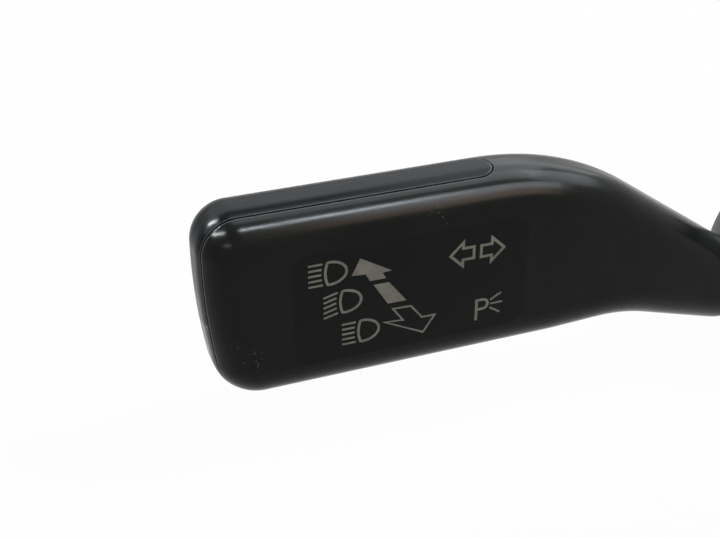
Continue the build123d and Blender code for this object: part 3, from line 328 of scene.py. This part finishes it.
class Plate:
    """Flat shapes on the paddle's front face, in mm from its tip and from its centre line."""

    def __init__(self, name):
        self.name = name
        self.mesh = bmesh.new()

    def point(self, place, y):
        return self.mesh.verts.new(((place[0] + TIP_X) * MM, y * MM, (place[1] + RISE) * MM))

    def solid(self, rings):
        """A closed plate between an outer ring and, where there is one, an inner ring."""
        top, low = FRONT - PRINT_HEIGHT, FRONT + PRINT_DEPTH
        made = [([self.point(p, top) for p in ring], [self.point(p, low) for p in ring]) for ring in rings]
        for upper, lower in made:
            for i in range(len(upper)):
                k = (i + 1) % len(upper)
                self.mesh.faces.new((upper[i], upper[k], lower[k], lower[i]))
        if len(made) == 1:
            for corners in tessellate_polygon([[Vector((*p, 0.0)) for p in rings[0]]]):
                for side in made[0]:
                    self.mesh.faces.new([side[i] for i in corners])
        else:
            for side in (0, 1):
                outer, inner = made[0][side], made[1][side]
                for i in range(len(outer)):
                    k = (i + 1) % len(outer)
                    self.mesh.faces.new((outer[i], outer[k], inner[k], inner[i]))

    def shape(self, points):
        self.solid([points])

    def outline(self, points, width):
        """A line of that width inside a closed outline."""
        self.solid([points, inset(points, width)])

    def stroke(self, start, end, width):
        a, b = Vector(start), Vector(end)
        side = (b - a).normalized()
        side = Vector((-side.y, side.x)) * width / 2
        self.solid([[a + side, b + side, b - side, a - side]])

    def done(self, material):
        bmesh.ops.recalc_face_normals(self.mesh, faces=self.mesh.faces)
        data = bpy.data.meshes.new(self.name)
        self.mesh.to_mesh(data)
        self.mesh.free()
        data.materials.append(material)
        piece = bpy.data.objects.new(self.name, data)
        bpy.context.scene.collection.objects.link(piece)
        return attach(piece, "lever")


def inset(points, width):
    """The closed outline moved inwards by width, with mitred corners."""
    ring = [Vector(p) for p in points]
    area = sum(a.x * b.y - b.x * a.y for a, b in zip(ring, ring[1:] + ring[:1]))
    turn = 1.0 if area > 0 else -1.0
    inner = []
    for i, p in enumerate(ring):
        before = (p - ring[i - 1]).normalized()
        after = (ring[(i + 1) % len(ring)] - p).normalized()
        left = Vector((-before.y, before.x)) * turn
        right = Vector((-after.y, after.x)) * turn
        middle = (left + right).normalized()
        inner.append(p + middle * width / max(0.35, middle.dot(left)))
    return inner


def headlamp(plate, x, z, slope):
    """A lamp's outline with five beams of light on its left; x, z is the middle of its lens."""
    ring = [(0.42, 2.05), (0.62, 2.2), (0.95, 2.25)]
    for step in range(1, 16):
        angle = math.pi * step / 16
        ring.append((0.95 + 3.12 * math.sin(angle), 2.25 * math.cos(angle)))
    ring += [(0.95, -2.25), (0.62, -2.2), (0.42, -2.05), (0.14, -1.0), (0.05, 0.0), (0.14, 1.0)]
    plate.outline([(x + u, z + w) for u, w in reversed(ring)], LAMP_LINE)
    for beam in range(5):
        level = 1.9 - 0.95 * beam
        lens = x - 0.40 + 0.07 * level * level
        start = (x - 2.55, z + level - slope)
        plate.stroke(start, (lens, z + level), BEAM_LINE)


ink = printed("print_ink")
lamps = Plate("print_headlamps")
headlamp(lamps, 18.72, 6.0, 0.0)
headlamp(lamps, 21.15, 0.3, 0.6)
headlamp(lamps, 24.20, -5.95, 0.0)
lamps.done(ink)

arrows = Plate("print_beam_arrow")
arrows.shape([(24.85, 7.7), (30.2, 4.45), (28.65, 4.3), (29.25, 3.2), (26.5, 3.2), (25.75, 4.6), (23.4, 4.8)])
arrows.shape([(27.1, 2.35), (29.75, 2.35), (32.85, -1.75), (29.6, -1.7)])
arrows.outline([(30.2, -2.75), (33.75, -2.9), (35.8, -5.5), (38.3, -5.5), (36.0, -8.85), (28.65, -5.1), (32.0, -5.3)],
               ARROW_LINE)
arrows.done(ink)

turns = Plate("print_turn_arrows")
for tip, base, middle in ((40.15, 44.9, 4.9), (50.45, 45.75, 4.82)):
    way = 1.0 if base > tip else -1.0
    head, shaft = tip + way * 2.8, base
    turns.outline(
        [(tip, middle), (head, middle + 2.75), (head, middle + 1.3), (shaft, middle + 1.3),
         (shaft, middle - 1.3), (head, middle - 1.3), (head, middle - 2.75)], TURN_LINE)
turns.done(ink)

parking = Plate("print_parking_lamp")
parking.stroke((45.62, -4.42), (45.62, -8.55), STEM_LINE)
outer, inner = [], []
for step in range(11):
    angle = math.pi * step / 10
    outer.append((46.75 + 1.15 * math.sin(angle), -5.55 + 1.13 * math.cos(angle)))
    inner.append((46.75 + 0.69 * math.sin(angle), -5.55 + 0.67 * math.cos(angle)))
parking.shape([(45.88, -4.42), *outer, (45.88, -6.68), (45.88, -6.22), *reversed(inner), (45.88, -4.88)])
for beam in (((48.1, -5.0), (50.1, -3.9)), ((48.2, -5.75), (50.45, -5.75)), ((48.1, -6.5), (50.0, -7.75))):
    parking.stroke(*beam, RAY_LINE)
parking.done(ink)


# ---------------------------------------------------------------- floor, light and camera
def pale_floor():
    """White to the camera, with the object's shadow still on it, and plain pale to everything else."""
    s = Shader("floor_white")
    s.finish((0.78, 0.78, 0.78), 0.9, 0.1)
    light_path = s.add("ShaderNodeLightPath")
    seen = s.math("MAXIMUM", light_path.outputs["Is Camera Ray"], light_path.outputs["Is Glossy Ray"])
    seen = s.math("MAXIMUM", seen, light_path.outputs["Is Transmission Ray"])
    glow = s.add("ShaderNodeEmission")
    glow.inputs["Color"].default_value = (1.0, 1.0, 1.0, 1.0)
    glow.inputs["Strength"].default_value = 1.0
    blend = s.add("ShaderNodeMixShader")
    s.put(blend.inputs[0], s.math("MULTIPLY", seen, FLOOR_WHITE))
    s.put(blend.inputs[1], s.bsdf.outputs[0])
    s.put(blend.inputs[2], glow.outputs[0])
    s.put(s.nodes["Material Output"].inputs["Surface"], blend.outputs[0])
    return s.material


FLOOR_WHITE = 0.955  # the floor's own glow; the rest of it takes the light and the shadow
FLOOR_HALF = 3.0
FLOOR_GAP = 0.0001  # below the part, in metres
floor_mesh = bpy.data.meshes.new("floor")
half, level = FLOOR_HALF, cad_low.z - FLOOR_GAP
corners = [(-half, -half, level), (half, -half, level), (half, half, level), (-half, half, level)]
floor_mesh.from_pydata(corners, [], [(0, 1, 2, 3)])
floor_mesh.materials.append(pale_floor())
floor = bpy.data.objects.new("floor", floor_mesh)
bpy.context.scene.collection.objects.link(floor)

SOFT_LEVEL = 0.55  # the pale room's light on matt surfaces
world = bpy.data.worlds.new("studio")
bpy.context.scene.world = world
world.use_nodes = True
wn, wl = world.node_tree.nodes, world.node_tree.links
path = wn.new("ShaderNodeLightPath")
white, soft, choose = wn.new("ShaderNodeBackground"), wn["Background"], wn.new("ShaderNodeMixShader")
white.inputs["Color"].default_value = (1.0, 1.0, 1.0, 1.0)
white.inputs["Strength"].default_value = 1.0
soft.inputs["Color"].default_value = (0.92, 0.95, 1.0, 1.0)
soft.inputs["Strength"].default_value = SOFT_LEVEL
seen = path.outputs["Is Camera Ray"]
for kind in ("Is Glossy Ray", "Is Transmission Ray"):
    either = wn.new("ShaderNodeMath")
    either.operation = "MAXIMUM"
    wl.new(seen, either.inputs[0])
    wl.new(path.outputs[kind], either.inputs[1])
    seen = either.outputs[0]
wl.new(seen, choose.inputs[0])
wl.new(soft.outputs[0], choose.inputs[1])
wl.new(white.outputs[0], choose.inputs[2])
wl.new(choose.outputs[0], wn["World Output"].inputs["Surface"])


def placed(x, y, z, place):
    """The matrix of an object with those axes at that place."""
    return Matrix([(x[i], y[i], z[i], place[i]) for i in range(3)] + [(0.0, 0.0, 0.0, 1.0)])


def lamp(name, place, size, power, color, along=(1.0, 0.0, 0.0), card=True):
    """A soft box that faces the lever, with its length along the given direction.

    A card is seen by gloss alone, so it draws a highlight and adds nothing to the level of the light.
    """
    data = bpy.data.lights.new(name, "AREA")
    data.shape = "RECTANGLE"
    data.size, data.size_y = size
    data.energy = power
    data.color = color
    thing = bpy.data.objects.new(name, data)
    z = (Vector(place) - LIT).normalized()
    x = (Vector(along) - Vector(along).dot(z) * z).normalized()
    thing.matrix_world = placed(x, z.cross(x), z, place)
    thing.visible_diffuse = not card
    bpy.context.scene.collection.objects.link(thing)


LIT = Vector((-0.07, -0.015, 0.012))  # what the lamps face, in metres
lamp("key_strip", (0.045, -0.225, 0.544), (0.17, 0.03), 2.6, (0.86, 0.93, 1.0))
lamp("key_soft", (0.145, -0.309, 0.522), (0.13, 0.19), 1.0, (0.95, 0.95, 1.0))
lamp("key_wide", (0.30, -0.25, 0.48), (0.24, 0.17), 2.1, (0.88, 0.94, 1.0), card=False)
lamp("over_strip", (0.09, 0.127, 0.589), (0.55, 0.34), 5.0, (0.90, 0.95, 1.0))
lamp("over_gap", (0.23, 0.34, 0.455), (0.25, 0.14), 0.45, (0.90, 0.95, 1.0))
lamp("crank_box", (0.38, 0.05, 0.41), (0.27, 0.32), 2.0, (0.90, 0.94, 1.0), (0.167, 0.0, -0.213))
lamp("back_box", (0.12, 0.60, 0.40), (1.2, 0.28), 2.4, (0.90, 0.95, 1.0), card=False)
lamp("left_box", (-0.56, 0.35, 0.34), (0.25, 0.25), 1.0, (0.97, 0.99, 1.0), card=False)
lamp("corner_shell", (-0.515, -0.055, 0.455), (0.34, 0.035), 6.5, (0.95, 0.98, 1.0), (0.193, -0.209, 0.166))
lamp("corner_cap", (-0.42, 0.37, 0.38), (0.20, 0.07), 8.0, (0.95, 0.98, 1.0), (0.083, -0.07, 0.12))
lamp("corner_low", (-0.43, -0.44, 0.31), (0.20, 0.04), 0.5, (1.0, 0.97, 0.94), (0.213, -0.117, 0.056))
lamp("warm_low", (0.23, -0.44, 0.42), (0.32, 0.19), 1.6, (1.0, 0.74, 0.60))

WIDTH, HEIGHT = 720.0, 538.0  # the picture in pixels
SENSOR = 36.0
AZIMUTH, ELEVATION, ROLL = math.radians(-20.303), math.radians(30.385), math.radians(0.111)
DISTANCE = 200.0
FOCAL = 1211.3  # in pixels
AIM = Vector((-94.54, -4.0, 16.5))  # in mm from the pivot, and seen at AIM_AT
AIM_AT = (379.63, 279.51)
flat = math.cos(ELEVATION)
back = Vector((flat * math.sin(AZIMUTH), -flat * math.cos(AZIMUTH), math.sin(ELEVATION)))
look = -back
right = look.cross(Vector((0.0, 0.0, 1.0))).normalized()
up = right.cross(look)
image_right = right * math.cos(ROLL) - up * math.sin(ROLL)
image_up = right * math.sin(ROLL) + up * math.cos(ROLL)
ray = Vector(((AIM_AT[0] - WIDTH / 2) / FOCAL, (HEIGHT / 2 - AIM_AT[1]) / FOCAL, 1.0)).normalized()
eye = AIM - DISTANCE * (ray.x * image_right + ray.y * image_up + ray.z * look)
camera_data = bpy.data.cameras.new("camera")
camera_data.sensor_fit = "HORIZONTAL"
camera_data.sensor_width = SENSOR
camera_data.lens = FOCAL / WIDTH * SENSOR
camera_data.clip_start = 0.005
camera = bpy.data.objects.new("camera", camera_data)
bpy.context.scene.collection.objects.link(camera)
camera.matrix_world = placed(image_right, image_up, back, (eye + Vector((0.0, PIVOT_Y, 0.0))) * MM)
bpy.context.scene.camera = camera

bpy.context.scene.view_settings.view_transform = "Standard"
